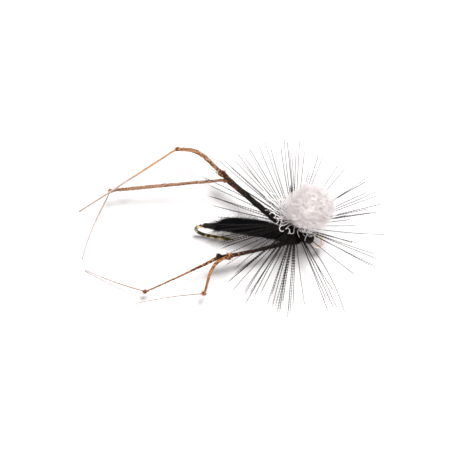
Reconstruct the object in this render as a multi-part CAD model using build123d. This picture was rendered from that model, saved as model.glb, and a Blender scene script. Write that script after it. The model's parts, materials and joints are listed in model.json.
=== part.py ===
"""A parachute dry fly with four knotted legs, tied on a size 10 hook.

Millimetres. The origin is the centre of the hook eye. +X points forward, out of the eye,
+Y is the fly's left and +Z is up, so the shank lies along X and the hook point is below it.
"""
from build123d import *
from math import cos, radians, sin, tan
import os
import random

os.makedirs("parts", exist_ok=True)

# Hook: one tempered wire with a turned-down ring eye
WIRE_R = 0.24
EYE_RING_R = 0.74
EYE_BORE_R = 0.55
EYE_TURN_DOWN = 30
NECK_LENGTH = 0.55
NECK_BEND_R = 1.5
SHANK_Z = 0.86
BEND_R = 2.2
BEND_X = -13.85
BEND_TURN = 172
SPEAR_LENGTH = 2.2
POINT_LENGTH = 1.1
POINT_TIP_R = 0.03
BARB_LENGTH = 0.6
BARB_HEIGHT = 0.2
BARB_WIDTH = 0.2

# Tying thread on the shank
THREAD = 0.12
THREAD_BASE_R = 0.31
THREAD_BASE_REAR = -13.5
REAR_WRAPS = 10
REAR_WRAPS_PITCH = 0.145
REAR_WRAPS_R = 0.42

# Dubbed body: the abdomen's fur lies mostly above and to the left of the shank
ABDOMEN_LEFT = 0.32
ABDOMEN_UP = 0.42
ABDOMEN_FRONT = -5.0
ABDOMEN_FRONT_R = 1.0
# place along the shank, radius, share of the shift to the left and up
ABDOMEN_STATIONS = [
    (-13.5, 0.5, 0),
    (-12.3, 0.8, 0.75),
    (-10.5, 1.05, 1),
    (-7.5, 1.1, 0.95),
    (ABDOMEN_FRONT, ABDOMEN_FRONT_R, 0.35),
]
THORAX_FRONT = -2.0
THORAX_MID_R = 1.3
THORAX_FRONT_R = 0.75
HEAD_BACK = -1.98
HEAD_R = 0.62
HEAD_FRONT_R = 0.36
HEAD_LENGTH = 1.0
HEAD_TILT = 14

# Wing post: a bunch of yarn that leaves the shank and is wound round at its foot
POST_X = -3.4
POST_LEAN_LEFT = 12
POST_LEAN_FORWARD = 5
POST_R = 0.42
POST_WRAPS = 9
POST_WRAPS_FOOT = 1.4
POST_WRAPS_R = 0.53
TUFT_FOOT = 3.45
TUFT_LEAN_LEFT = 12
TUFT_LEAN_FORWARD = 22
TUFT_NECK_R = 0.6
TUFT_R = 3.4
TUFT_HEIGHT = 7.2

# Parachute hackle: one feather wound round the post in flat turns
HACKLE_TURNS = 5
HACKLE_FOOT = 2.45
QUILL = 0.2
QUILL_R = 0.8
STEM_R = 0.09
BARBS_PER_TURN = 18
BARB_ROOT = 0.12
BARB_TIP = 0.07
BARB_REACH = 12.0
BARB_SCATTER = 0.5
HACKLE_LEAN_LEFT = 6
TURN_RISE = [-13, -8, -3, 2, 6]
RISE_SCATTER = 3
LEFT_LEG_GAP = (141, 165)
LIFTED_SECTOR = (172, 236)
LIFTED_RISE = -3

# Legs: (length, heading from +X towards +Y, rise) of each span between knots
LEGS = {
    "left_front": {
        "root": (-4.8, 1.35, 1.5),
        "femur": (10.2, 147, 10, 0.19),
        "tibia": (6.8, 160.5, 2, 0.22),
        "tarsus": (15.1, 220, -5.5, 0.1),
    },
    "left_rear": {
        "root": (-5.25, 1.4, 0.8),
        "femur": (8.8, 151.2, 15, 0.19),
        "tibia": (15.4, 188.8, -8.5, 0.19),
        "tarsus": (9.6, 254, -18, 0.08),
    },
    "right_front": {
        "root": (-4.55, -1.5, 1.2),
        "femur": (7.3, 204.3, 13, 0.2),
        "tibia": (6.1, 238, -32, 0.28),
        "tarsus": (9.4, 190.5, -17, 0.1),
    },
    "right_rear": {
        "root": (-5.3, -1.38, 0.45),
        "femur": (7.7, 202, 6, 0.2),
        "tibia": (10.7, 209, -15, 0.2),
        "tarsus": (9.2, 163, -15, 0.09),
    },
}
FIBRE_SIDES = 8
KNEE_R = 0.4
ANKLE_R = 0.38
KNOT_GAP = 0.05
ROOT_GAP = 0.08
BUTT_R = 0.17
BUTT_INNER = (-3.9, 0.62)


def direction(heading, rise):
    """Unit vector from a heading about +Z and a rise above level, in degrees."""
    level = cos(radians(rise))
    return Vector(
        level * cos(radians(heading)), level * sin(radians(heading)), sin(radians(rise))
    )


def leaning(left, forward):
    """Unit vector of something upright that leans to the left and forward, in degrees."""
    return Vector(tan(radians(forward)), tan(radians(left)), 1).normalized()


def leg_frame(leg):
    """Root, knee, ankle and tip of a leg, and the directions of its three spans."""
    points = [Vector(*leg["root"])]
    ways = []
    for span in ("femur", "tibia", "tarsus"):
        length, heading, rise, radius = leg[span]
        ways.append(direction(heading, rise))
        points.append(points[-1] + ways[-1] * length)
    return points, ways


# Solids


def along(start, way):
    """A plane at start whose Z runs along way."""
    return Plane(origin=start, z_dir=way)


def rod(start, end, radius):
    """A round rod between two points."""
    span = end - start
    base = (Align.CENTER, Align.CENTER, Align.MIN)
    return along(start, span) * Cylinder(radius, span.length, align=base)


def fibre(start, end, radius, end_radius):
    """A tapered span of one leg's fibre, with flat sides."""
    span = end - start
    base = along(start, span) * RegularPolygon(radius, FIBRE_SIDES)
    tip = along(end, span) * RegularPolygon(end_radius, FIBRE_SIDES)
    return loft([base.face(), tip.face()], ruled=True)


def turned(profile, start, way):
    """A solid of revolution from (radius, distance) points, about a line from start along way."""
    outline = Plane.XZ * make_face(Polyline(*profile, close=True))
    return along(start, way) * revolve(outline, Axis.Z)


def wound(turns, pitch, inner, outer):
    """Profile of thread wound in close turns: a round-topped rib for each turn."""
    rib = 0.25 * pitch
    points = [(inner, 0)]
    for turn in range(turns):
        foot = turn * pitch
        points += [(outer - rib, foot), (outer, foot + rib)]
        points += [(outer, foot + pitch - rib), (outer - rib, foot + pitch)]
    points.append((inner, turns * pitch))
    return [point for i, point in enumerate(points) if i == 0 or point != points[i - 1]]


def hook():
    """The whole hook: ring eye, neck, shank, bend, spear, barb and point."""
    down = radians(EYE_TURN_DOWN)
    neck_way = Vector(-cos(down), 0, sin(down))
    neck_start = neck_way * EYE_RING_R
    neck_end = neck_start + neck_way * NECK_LENGTH
    bend_rise = NECK_BEND_R * (1 - cos(down))
    shank_front = Vector(neck_end.X - NECK_BEND_R * sin(down), 0, neck_end.Z + bend_rise)
    lift = SHANK_Z - shank_front.Z
    neck_end = neck_end + neck_way * (lift / sin(down))
    shank_front = Vector(neck_end.X - NECK_BEND_R * sin(down), 0, SHANK_Z)
    neck = Line(neck_start, neck_end)
    crook = TangentArc(neck_end, shank_front, tangent=neck_way)
    shank = Line(shank_front, (BEND_X, 0, SHANK_Z))
    turn = radians(BEND_TURN)
    spear_start = Vector(
        BEND_X - BEND_R * sin(turn), 0, SHANK_Z - BEND_R * (1 - cos(turn))
    )
    bend = TangentArc((BEND_X, 0, SHANK_Z), spear_start, tangent=(-1, 0, 0))
    spear_way = Vector(-cos(turn), 0, -sin(turn))
    spear_end = spear_start + spear_way * SPEAR_LENGTH
    spear = Line(spear_start, spear_end)
    path = Wire([edge for part in (neck, crook, shank, bend, spear) for edge in part.edges()])
    wire = sweep(along(neck_start, neck_way) * Circle(WIRE_R), path=path)
    base = (Align.CENTER, Align.CENTER, Align.MIN)
    cone = Cone(WIRE_R, POINT_TIP_R, POINT_LENGTH, align=base)
    point = along(spear_end, spear_way) * cone
    eye = Plane(origin=(0, 0, 0), z_dir=(sin(down), 0, cos(down)))
    ring = eye * Torus(EYE_RING_R, WIRE_R)
    bore = eye * Cylinder(EYE_BORE_R, 4 * WIRE_R)
    inward = Vector(sin(turn), 0, -cos(turn))
    heel = spear_end + inward * (0.6 * WIRE_R)
    barb_points = [
        heel,
        heel - spear_way * BARB_LENGTH + inward * (BARB_HEIGHT + 0.4 * WIRE_R),
        heel - spear_way * (0.6 * BARB_LENGTH),
    ]
    side = Vector(0, 1, 0)
    barb_face = make_face(Polyline(*barb_points, close=True))
    barb = extrude(barb_face, amount=BARB_WIDTH / 2, dir=side, both=True)
    return (wire + point + ring + barb) - bore


def shank_point(x):
    return Vector(x, 0, SHANK_Z)


def thread_base():
    """The layer of thread that beds everything else on the shank."""
    length = HEAD_BACK - THREAD_BASE_REAR
    profile = [(WIRE_R, 0), (THREAD_BASE_R, 0), (THREAD_BASE_R, length), (WIRE_R, length)]
    return turned(profile, shank_point(THREAD_BASE_REAR), Vector(1, 0, 0))


def wire_place(distance):
    """Centre and forward direction of the wire, measured back from the rear of the abdomen."""
    straight = THREAD_BASE_REAR - BEND_X
    if distance <= straight:
        return shank_point(THREAD_BASE_REAR - distance), Vector(1, 0, 0)
    turn = (distance - straight) / BEND_R
    back = Vector(BEND_X - BEND_R * sin(turn), 0, SHANK_Z - BEND_R * (1 - cos(turn)))
    return back, Vector(cos(turn), 0, sin(turn))


def rear_thread_wraps():
    """Bare tying thread in separate turns behind the abdomen, over the start of the bend."""
    ring = wound(1, THREAD, WIRE_R, REAR_WRAPS_R)
    wraps = []
    for turn in range(1, REAR_WRAPS + 1):
        centre, forward = wire_place(turn * REAR_WRAPS_PITCH)
        wraps.append(turned(ring, centre, forward))
    return wraps


def abdomen_dubbing():
    """Fur spun on the thread and wound up the shank, swelling towards the middle."""
    sections = []
    for x, radius, share in ABDOMEN_STATIONS:
        centre = Vector(x, share * ABDOMEN_LEFT, SHANK_Z + share * ABDOMEN_UP)
        sections.append((along(centre, Vector(1, 0, 0)) * Circle(radius)).face())
    bed = rod(shank_point(THREAD_BASE_REAR - 1), shank_point(HEAD_BACK), THREAD_BASE_R)
    return loft(sections, ruled=True) - bed


def post_axis():
    return leaning(POST_LEAN_LEFT, POST_LEAN_FORWARD)


def post_point(height):
    return shank_point(POST_X) + post_axis() * height


def leg_butts(side):
    """The bound-down ends of one side's two legs, from beside the post to the leg roots."""
    butts = []
    for name, leg in LEGS.items():
        if name.startswith(side):
            root = Vector(*leg["root"])
            away = BUTT_INNER[1] if root.Y > 0 else -BUTT_INNER[1]
            inner = Vector(BUTT_INNER[0], away, root.Z)
            butts.append(rod(inner, root, BUTT_R))
    return butts


def thorax_dubbing():
    """Fur wound round the feet of the post and the legs."""
    length = THORAX_FRONT - ABDOMEN_FRONT
    profile = [
        (THREAD_BASE_R, 0),
        (ABDOMEN_FRONT_R, 0),
        (THORAX_MID_R, 0.4 * length),
        (THORAX_MID_R, 0.65 * length),
        (THORAX_FRONT_R, length),
        (THREAD_BASE_R, length),
    ]
    body = turned(profile, shank_point(ABDOMEN_FRONT), Vector(1, 0, 0))
    foot = rod(post_point(0), post_point(POST_WRAPS_FOOT), POST_R)
    collar = rod(post_point(POST_WRAPS_FOOT), post_point(HACKLE_FOOT), POST_WRAPS_R)
    body = body - foot - collar
    for side in ("left", "right"):
        for butt in leg_butts(side):
            body = body - butt
    return body


def thread_head():
    """The finishing wraps between the thorax and the eye."""
    tilt = radians(HEAD_TILT)
    way = Vector(cos(tilt), 0, -sin(tilt))
    turns = round(HEAD_LENGTH / THREAD)
    ridge = 0.2 * THREAD
    profile = [(0, 0), (HEAD_R, 0)]
    for turn in range(1, turns + 1):
        share = turn / turns
        radius = HEAD_R + (HEAD_FRONT_R - HEAD_R) * share * share
        profile += [(radius + ridge, (turn - 0.5) * THREAD), (radius, turn * THREAD)]
    profile.append((0, turns * THREAD))
    head = turned(profile, shank_point(HEAD_BACK), way)
    face = Plane(origin=shank_point(HEAD_BACK), z_dir=(-1, 0, 0))
    behind = face * extrude(Circle(2 * HEAD_R), amount=HEAD_LENGTH)
    return head - behind - hook()


def wing_post_yarn():
    """White yarn: a bound round foot that opens into a full brush above the hackle."""
    foot = rod(post_point(0), post_point(TUFT_FOOT + 0.3), POST_R)
    bed = rod(shank_point(THREAD_BASE_REAR), shank_point(HEAD_BACK), THREAD_BASE_R)
    profile = [
        (0, 0),
        (POST_R, 0),
        (TUFT_NECK_R, 0.1 * TUFT_HEIGHT),
        (0.62 * TUFT_R, 0.32 * TUFT_HEIGHT),
        (0.95 * TUFT_R, 0.55 * TUFT_HEIGHT),
        (TUFT_R, 0.72 * TUFT_HEIGHT),
        (0.82 * TUFT_R, 0.89 * TUFT_HEIGHT),
        (0.45 * TUFT_R, 0.98 * TUFT_HEIGHT),
        (0, TUFT_HEIGHT),
    ]
    brush = turned(profile, post_point(TUFT_FOOT), leaning(TUFT_LEAN_LEFT, TUFT_LEAN_FORWARD))
    return (foot - bed) + brush


def post_thread_wraps():
    """Thread wound up the post to make a stiff seat for the hackle."""
    profile = wound(POST_WRAPS, THREAD, POST_R, POST_WRAPS_R)
    scale = (HACKLE_FOOT - POST_WRAPS_FOOT) / (POST_WRAPS * THREAD)
    profile = [(radius, distance * scale) for radius, distance in profile]
    return turned(profile, post_point(POST_WRAPS_FOOT), post_axis())


def hackle_quill():
    """The feather's stem: flat touching turns round the post, and its bound end going down."""
    turns = turned(
        wound(HACKLE_TURNS, QUILL, POST_R, QUILL_R), post_point(HACKLE_FOOT), post_axis()
    )
    rearward = Vector(-1, 0, 0)
    beside = rearward * (POST_WRAPS_R + 1.3 * STEM_R)
    top = post_point(HACKLE_FOOT + 0.5 * QUILL) + beside
    stem = rod(post_point(POST_WRAPS_FOOT + 0.25) + beside, top, STEM_R)
    return turns + stem


def barb_angles(turn, scatter):
    """Heading and rise of each barb in one turn; those over the body and right legs lie higher."""
    angles = []
    step = 360 / BARBS_PER_TURN
    for index in range(BARBS_PER_TURN):
        heading = (index + turn / HACKLE_TURNS) * step + scatter.uniform(-1.2, 1.2)
        rise = TURN_RISE[turn] + scatter.uniform(-RISE_SCATTER, RISE_SCATTER)
        rise -= HACKLE_LEAN_LEFT * sin(radians(heading))
        if LEFT_LEG_GAP[0] < heading < LEFT_LEG_GAP[1]:
            continue
        if LIFTED_SECTOR[0] < heading < LIFTED_SECTOR[1]:
            rise = max(rise, LIFTED_RISE + abs(rise) / 4)
        angles.append((heading, rise))
    return angles


def barb(foot, heading, rise, reach):
    """One stiff barb: a slender square taper that starts just inside the quill."""
    way = direction(heading, rise)
    root = foot + direction(heading, 0) * (QUILL_R - 0.1 * QUILL)
    base = along(root, way) * Rectangle(BARB_ROOT, BARB_ROOT)
    tip = along(root + way * (reach - QUILL_R), way) * Rectangle(BARB_TIP, BARB_TIP)
    return loft([base.face(), tip.face()], ruled=True)


def hackle_turn(turn):
    """All the barbs that stand out from one turn of the quill."""
    scatter = random.Random(turn)
    foot = post_point(HACKLE_FOOT + (turn + 0.5) * QUILL)
    barbs = []
    for heading, rise in barb_angles(turn, scatter):
        reach = BARB_REACH + scatter.uniform(-BARB_SCATTER, BARB_SCATTER)
        barbs.append(barb(foot, heading, rise, reach))
    return barbs


def knot(centre, hinge, radius):
    """An overhand knot in the fibre: two loops side by side, round about the bending line."""
    profile = [
        (0, -0.85),
        (0.5, -0.9),
        (0.9, -0.65),
        (1, -0.35),
        (0.88, 0),
        (1, 0.35),
        (0.9, 0.65),
        (0.5, 0.9),
        (0, 0.85),
    ]
    sized = [(radius * out, radius * up) for out, up in profile]
    return turned(sized, centre, hinge)


def leg_parts(leg):
    """Femur, knee knot, tibia, ankle knot and tarsus; each knot is one with the span beyond it."""
    (root, knee, ankle, tip), (femur_way, tibia_way, tarsus_way) = leg_frame(leg)
    femur_r, tibia_r, tarsus_r = (leg[span][3] for span in ("femur", "tibia", "tarsus"))
    knee_knot = knot(knee, femur_way.cross(tibia_way).normalized(), KNEE_R)
    ankle_knot = knot(ankle, tibia_way.cross(tarsus_way).normalized(), ANKLE_R)
    femur_end = knee - femur_way * (KNEE_R + KNOT_GAP)
    tibia_end = ankle - tibia_way * (ANKLE_R + KNOT_GAP)
    return {
        "femur": rod(root + femur_way * ROOT_GAP, femur_end, femur_r),
        "knee_knot": knee_knot,
        "tibia": fibre(knee, tibia_end, tibia_r, 0.7 * tibia_r) - knee_knot,
        "ankle_knot": ankle_knot,
        "tarsus": fibre(ankle, tip, tarsus_r, 0.6 * tarsus_r) - ankle_knot,
    }


def save(node, shape):
    """Write one node's solids as its own STEP file."""
    solids = shape if isinstance(shape, list) else [shape]
    solids = [solid for part in solids for solid in part.solids()]
    export_step(Compound(children=solids), f"parts/{node}.step")


save("hook", hook())
save("thread_base", thread_base())
save("rear_thread_wraps", rear_thread_wraps())
save("abdomen_dubbing", abdomen_dubbing())
save("thorax_dubbing", thorax_dubbing())
save("thread_head", thread_head())
save("wing_post_yarn", wing_post_yarn())
save("post_thread_wraps", post_thread_wraps())
save("hackle_quill", hackle_quill())
for turn in range(HACKLE_TURNS):
    save(f"hackle_barbs_turn_{turn + 1}", hackle_turn(turn))
for side in ("left", "right"):
    save(f"leg_butts_{side}", leg_butts(side))
for name, leg in LEGS.items():
    for piece, shape in leg_parts(leg).items():
        save(f"{name}_{piece}", shape)
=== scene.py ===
import json
import math

import bpy
import numpy as np
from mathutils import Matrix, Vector


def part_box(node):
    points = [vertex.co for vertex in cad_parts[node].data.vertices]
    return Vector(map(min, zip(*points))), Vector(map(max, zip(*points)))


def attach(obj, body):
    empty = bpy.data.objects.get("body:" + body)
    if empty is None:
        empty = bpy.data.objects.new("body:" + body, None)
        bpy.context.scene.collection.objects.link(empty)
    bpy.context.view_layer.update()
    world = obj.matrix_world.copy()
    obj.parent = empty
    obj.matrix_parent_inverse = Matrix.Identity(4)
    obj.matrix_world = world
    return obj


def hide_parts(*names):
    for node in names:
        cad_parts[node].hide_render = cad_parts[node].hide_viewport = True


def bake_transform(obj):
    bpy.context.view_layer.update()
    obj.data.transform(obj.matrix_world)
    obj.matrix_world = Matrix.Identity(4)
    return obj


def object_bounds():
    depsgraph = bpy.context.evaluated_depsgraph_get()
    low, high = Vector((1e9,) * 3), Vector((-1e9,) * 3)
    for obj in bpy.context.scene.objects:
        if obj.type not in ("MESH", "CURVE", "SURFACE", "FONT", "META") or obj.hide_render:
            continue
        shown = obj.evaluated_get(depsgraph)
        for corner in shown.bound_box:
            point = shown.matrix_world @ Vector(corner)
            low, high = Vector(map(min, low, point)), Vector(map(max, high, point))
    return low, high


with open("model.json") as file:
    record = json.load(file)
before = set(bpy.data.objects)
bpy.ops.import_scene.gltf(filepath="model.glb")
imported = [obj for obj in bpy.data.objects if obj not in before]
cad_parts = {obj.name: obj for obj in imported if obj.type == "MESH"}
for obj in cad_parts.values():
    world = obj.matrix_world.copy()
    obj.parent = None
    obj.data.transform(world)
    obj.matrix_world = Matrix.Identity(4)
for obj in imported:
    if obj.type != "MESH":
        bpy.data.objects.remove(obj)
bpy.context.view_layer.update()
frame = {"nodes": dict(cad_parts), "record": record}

# Looks of a parachute dry fly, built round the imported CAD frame. Lengths are in millimetres until
# a mesh is made; the stage, the light and the camera are in metres.
MM = 0.001
ROOT = "fly_body"
UP = np.array([0.0, 0.0, 1.0])
Y_AXIS = [0, 1, 0]
X_AXIS = [1, 0, 0]
TAU = 2 * np.pi
seeded = np.random.default_rng


# Places that the CAD gives


def box(node):
    """Lowest and highest corner of a CAD node, in millimetres."""
    low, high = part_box(node)
    return np.array(low) / MM, np.array(high) / MM


def unit(vector):
    vector = np.asarray(vector, float)
    return vector / np.linalg.norm(vector, axis=-1, keepdims=True)


JOINTS = {j["name"]: j for j in frame["record"]["behaviour"]["joints"]}
MOUNTS = {m["name"]: m for m in frame["record"]["mounts"]}


def joint_point(name):
    return np.array(JOINTS[name]["pos_m"]) / MM


SHANK_Z = sum(box("thread_base"))[2] / 2
HOOK_LOW, HOOK_HIGH = box("hook")
WIRE_R = 0.24
RING_R = HOOK_HIGH[1] - WIRE_R
EYE_TURN = math.asin(abs(unit(MOUNTS["hook_eye"]["axis"])[0]))
NECK_WAY = np.array([-math.cos(EYE_TURN), 0, math.sin(EYE_TURN)])
CROOK_R = 1.5
BEND_R = 2.2
BEND_X = HOOK_LOW[0] + WIRE_R + BEND_R
BEND_TURN = math.radians(172)
SPEAR_END = 3.3


# Lines


def places_on(line):
    """Each point's distance along a line."""
    steps = np.linalg.norm(np.diff(line, axis=0), axis=1)
    return np.concatenate([[0], np.cumsum(steps)])


def sampled(wanted, place, rows):
    """Rows of three numbers, known at place, read off at the wanted places."""
    return np.stack([np.interp(wanted, place, rows[:, i]) for i in range(3)], axis=1)


def even(line, count):
    """The same line with its points at equal distances."""
    place = places_on(line)
    return sampled(np.linspace(0, place[-1], count), place, line)


def curve_through(points, count):
    """A smooth open curve through points, evenly sampled (Catmull-Rom)."""
    points = np.asarray(points, float)
    before, after = 2 * points[0] - points[1], 2 * points[-1] - points[-2]
    padded = np.concatenate([[before], points, [after]])
    t = np.linspace(0, 1, 24, endpoint=False)[:, None]
    fine = []
    for i in range(1, len(padded) - 2):
        p0, p1, p2, p3 = padded[i - 1 : i + 3]
        slope = (p2 - p0) * t
        square = (2 * p0 - 5 * p1 + 4 * p2 - p3) * t**2
        cube = (3 * p1 - p0 - 3 * p2 + p3) * t**3
        fine.append(0.5 * (2 * p1 + slope + square + cube))
    return even(np.concatenate(fine + [points[-1:]]), count)


def across(way, towards):
    """Two unit vectors square to way, the first as near towards as can be."""
    way = unit(way)
    first = unit(np.asarray(towards, float) - np.dot(towards, way) * way)
    return first, np.cross(way, first)


def heading(degrees, rise=0.0):
    """Unit vectors at an angle from straight ahead, turning left, and at a rise above level."""
    turn, tilt = np.radians(degrees), np.radians(rise)
    level = np.cos(tilt)
    parts = np.broadcast_arrays(np.cos(turn) * level, np.sin(turn) * level, np.sin(tilt))
    return np.stack(parts, axis=-1)


# Mesh building


def ring_faces(index):
    """Quads between closed rings of vertices, given as rows of vertex numbers."""
    low, high = index[..., :-1, :], index[..., 1:, :]
    corners = [low, np.roll(low, -1, axis=-1), np.roll(high, -1, axis=-1), high]
    return np.stack(corners, axis=-1).reshape(-1, 4)


def tube_points(paths, radii, sides):
    """Rings of points round every path."""
    tangent = unit(np.gradient(paths, axis=1) + 1e-12)
    steep = np.abs(tangent[:, 0, 2:3]) > 0.8
    normal = unit(np.cross(tangent[:, 0], np.where(steep, X_AXIS, UP)))
    normals = np.empty_like(paths)
    for i in range(paths.shape[1]):
        along = np.sum(normal * tangent[:, i], axis=1, keepdims=True)
        normal = unit(normal - along * tangent[:, i])
        normals[:, i] = normal
    binormals = np.cross(tangent, normals)
    angle = TAU * np.arange(sides) / sides
    cosines, sines = np.cos(angle)[:, None], np.sin(angle)[:, None]
    circle = cosines * normals[:, :, None] + sines * binormals[:, :, None]
    return paths[:, :, None] + radii[:, :, None, None] * circle


class Heap:
    """Vertices, faces and two numbers per vertex, gathered into one mesh."""

    def __init__(self):
        self.points, self.faces, self.tone, self.along, self.count = [], [], [], [], 0

    def add(self, points, face_groups, tone, along):
        self.points.append(points)
        self.faces += [faces + self.count for faces in face_groups]
        self.tone.append(np.broadcast_to(tone, len(points)))
        self.along.append(np.broadcast_to(along, len(points)))
        self.count += len(points)

    def tubes(self, paths, radii, sides, tone=0.5, along=None):
        """Closed tubes round n paths of k points; along runs 0 to 1 on each unless given."""
        paths = np.asarray(paths, float)
        n, k, _ = paths.shape
        points = tube_points(paths, np.broadcast_to(radii, (n, k)), sides)
        index = np.arange(n * k * sides).reshape(n, k, sides)
        caps = np.concatenate([index[:, 0, ::-1], index[:, -1]])
        tones = np.repeat(np.broadcast_to(tone, n), k * sides)
        share = np.linspace(0, 1, k) if along is None else along
        share = np.repeat(np.broadcast_to(share, (n, k)), sides)
        self.add(points.reshape(-1, 3), (ring_faces(index), caps), tones, share)

    def mesh(self, name):
        points = np.concatenate(self.points) * MM
        loops = np.concatenate([faces.reshape(-1) for faces in self.faces])
        sizes = np.concatenate([np.full(len(faces), faces.shape[1]) for faces in self.faces])
        starts = np.concatenate([[0], np.cumsum(sizes)[:-1]])
        mesh = bpy.data.meshes.new(name)
        mesh.vertices.add(len(points))
        mesh.vertices.foreach_set("co", points.astype(np.float32).ravel())
        mesh.loops.add(len(loops))
        mesh.loops.foreach_set("vertex_index", loops.astype(np.int32))
        mesh.polygons.add(len(sizes))
        mesh.polygons.foreach_set("loop_start", starts.astype(np.int32))
        mesh.update(calc_edges=True)
        for label, values in (("tone", self.tone), ("along", self.along)):
            layer = mesh.attributes.new(label, "FLOAT", "POINT")
            layer.data.foreach_set("value", np.concatenate(values).astype(np.float32))
        mesh.polygons.foreach_set("use_smooth", np.ones(len(sizes), bool))
        mesh.validate()
        return mesh


def placed(name, data):
    """A new object in the scene, at the origin."""
    thing = bpy.data.objects.new(name, data)
    bpy.context.scene.collection.objects.link(thing)
    return thing


def piece(name, heap, material, replaces=(), body=ROOT):
    """One finished object of the fly, riding on a body and standing for CAD nodes."""
    thing = placed(name, heap.mesh(name))
    thing.data.materials.append(material)
    if replaces:
        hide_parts(*replaces)
    if body:
        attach(thing, body)
    return thing


def strand_tones(draw, middle, spread, count):
    """Random tones, most of them near middle."""
    return np.clip(draw.normal(middle, spread, count), 0, 1)


# Materials

# How far a strand's tone and the grain move its colour along the ramp, and where the sum starts
TONE_SHARE = 0.75
GRAIN_SHARE = 0.5
RAMP_SHIFT = 0.12
GLOW_DEPTH = 0.1


def fill(node, inputs):
    """Links each input to a socket or sets it to a plain value."""
    for label, value in inputs.items():
        if hasattr(value, "is_output"):
            node.id_data.links.new(value, node.inputs[label])
        else:
            node.inputs[label].default_value = value


def made(tree, kind, inputs, **settings):
    node = tree.nodes.new(f"ShaderNode{kind}")
    for label, value in settings.items():
        setattr(node, label, value)
    fill(node, inputs)
    return node


def principled(name):
    """A new material, its node tree and its shader."""
    material = bpy.data.materials.new(name)
    material.use_nodes = True
    tree = material.node_tree
    tree.nodes.clear()
    shader = made(tree, "BsdfPrincipled", {})
    made(tree, "OutputMaterial", {"Surface": shader.outputs["BSDF"]})
    return material, tree, shader


def noise(tree, scale, detail=4.0, stretch=None):
    """Noise in the frame's own metres; scale is in features per millimetre."""
    place = made(tree, "TexCoord", {}).outputs["Object"]
    if stretch:
        place = made(tree, "Mapping", {"Vector": place, "Scale": stretch}).outputs["Vector"]
    inputs = {"Vector": place, "Scale": scale / MM, "Detail": detail}
    return made(tree, "TexNoise", inputs).outputs["Fac"]


def attribute(tree, name):
    return made(tree, "Attribute", {}, attribute_name=name).outputs["Fac"]


def ramp(tree, source, stops):
    node = made(tree, "ValToRGB", {"Fac": source})
    first, last = node.color_ramp.elements
    first.position, last.position = stops[0][0], stops[-1][0]
    first.color, last.color = (*stops[0][1], 1), (*stops[-1][1], 1)
    for place, colour in stops[1:-1]:
        node.color_ramp.elements.new(place).color = (*colour, 1)
    return node.outputs["Color"]


def mixed(tree, share, first, second, mode="MIX"):
    node = made(tree, "Mix", {}, data_type="RGBA", blend_type=mode)
    fill(node, {0: share, 6: first, 7: second})
    return node.outputs[2]


def maths(tree, operation, first, second):
    return made(tree, "Math", {0: first, 1: second}, operation=operation).outputs[0]


def wandering(tree, scale, low, high):
    """A value that wanders between low and high over the surface."""
    inputs = {"Value": noise(tree, scale), "To Min": low, "To Max": high}
    return made(tree, "MapRange", inputs).outputs["Result"]


def bump(tree, height, distance, strength):
    inputs = {"Height": height, "Distance": distance * MM, "Strength": strength}
    return made(tree, "Bump", inputs).outputs["Normal"]


def fibre_material(name, stops, grain, roughness, specular, along_stops=None, glow=0.0):
    """Colour by strand (tone) and by grain, with an optional change from root to tip."""
    material, tree, shader = principled(name)
    grains = maths(tree, "MULTIPLY", noise(tree, grain), GRAIN_SHARE)
    tones = maths(tree, "MULTIPLY", attribute(tree, "tone"), TONE_SHARE)
    place = maths(tree, "SUBTRACT", maths(tree, "ADD", tones, grains), RAMP_SHIFT)
    colour = ramp(tree, place, stops)
    if along_stops:
        lengthwise = ramp(tree, attribute(tree, "along"), along_stops)
        colour = mixed(tree, 1.0, colour, lengthwise, "MULTIPLY")
    fill(shader, {
        "Base Color": colour,
        "Roughness": wandering(tree, grain * 2.3, roughness - 0.1, roughness + 0.12),
        "Specular IOR Level": specular,
        "Subsurface Weight": glow,
        "Subsurface Scale": GLOW_DEPTH * MM,
        "Subsurface Radius": (1.0, 0.9, 0.9),
        "Normal": bump(tree, noise(tree, grain * 5, 2.0), 0.01, 0.4),
    })
    return material


# Colour ramp of the wire: part uneven lacquer, part painted dark reflections (near black) and
# painted glints (bright gold).
WIRE_GLINT_STOPS = [(0.4, (0.022, 0.019, 0.006)), (0.5, (0.11, 0.09, 0.03)), (0.6, (0.75, 0.6, 0.32))]
# Where the eye ends along the wire, and its pale colour there: a painted washed-out highlight.
EYE_STOPS = [(0.15, (1, 1, 1)), (0.22, (0, 0, 0))]
EYE_GLARE_COLOUR = (0.97, 0.88, 0.76, 1)


def bronze():
    """Bronzed wire, its colour patchy from near black to bright gold: uneven lacquer with painted
    dark reflections and painted glints. Round the eye it is painted paler, a washed-out highlight,
    and is rougher.
    """
    material, tree, shader = principled("bronzed_wire")
    # Patchy colour: uneven lacquer with painted dark reflections and painted glints.
    dark = ramp(tree, noise(tree, 1.2), WIRE_GLINT_STOPS)
    eye = ramp(tree, attribute(tree, "along"), EYE_STOPS)
    worn = maths(tree, "MULTIPLY", eye, 0.3)
    fill(shader, {
        "Base Color": mixed(tree, eye, dark, EYE_GLARE_COLOUR),
        "Metallic": 1.0,
        "Roughness": maths(tree, "ADD", wandering(tree, 3.0, 0.16, 0.36), worn),
        "Coat Weight": 0.25,
        "Coat Roughness": 0.12,
        "Normal": bump(tree, noise(tree, 6.0, 3.0, (0.15, 1, 1)), 0.006, 0.35),
    })
    return material


def paper():
    material, tree, shader = principled("paper")
    shades = [(0.3, (0.9, 0.9, 0.905)), (0.7, (0.93, 0.93, 0.93))]
    fill(shader, {
        "Base Color": ramp(tree, noise(tree, 0.02), shades),
        "Roughness": 0.9,
        "Specular IOR Level": 0.2,
        "Normal": bump(tree, noise(tree, 2.0), 0.02, 0.2),
    })
    return material


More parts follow.
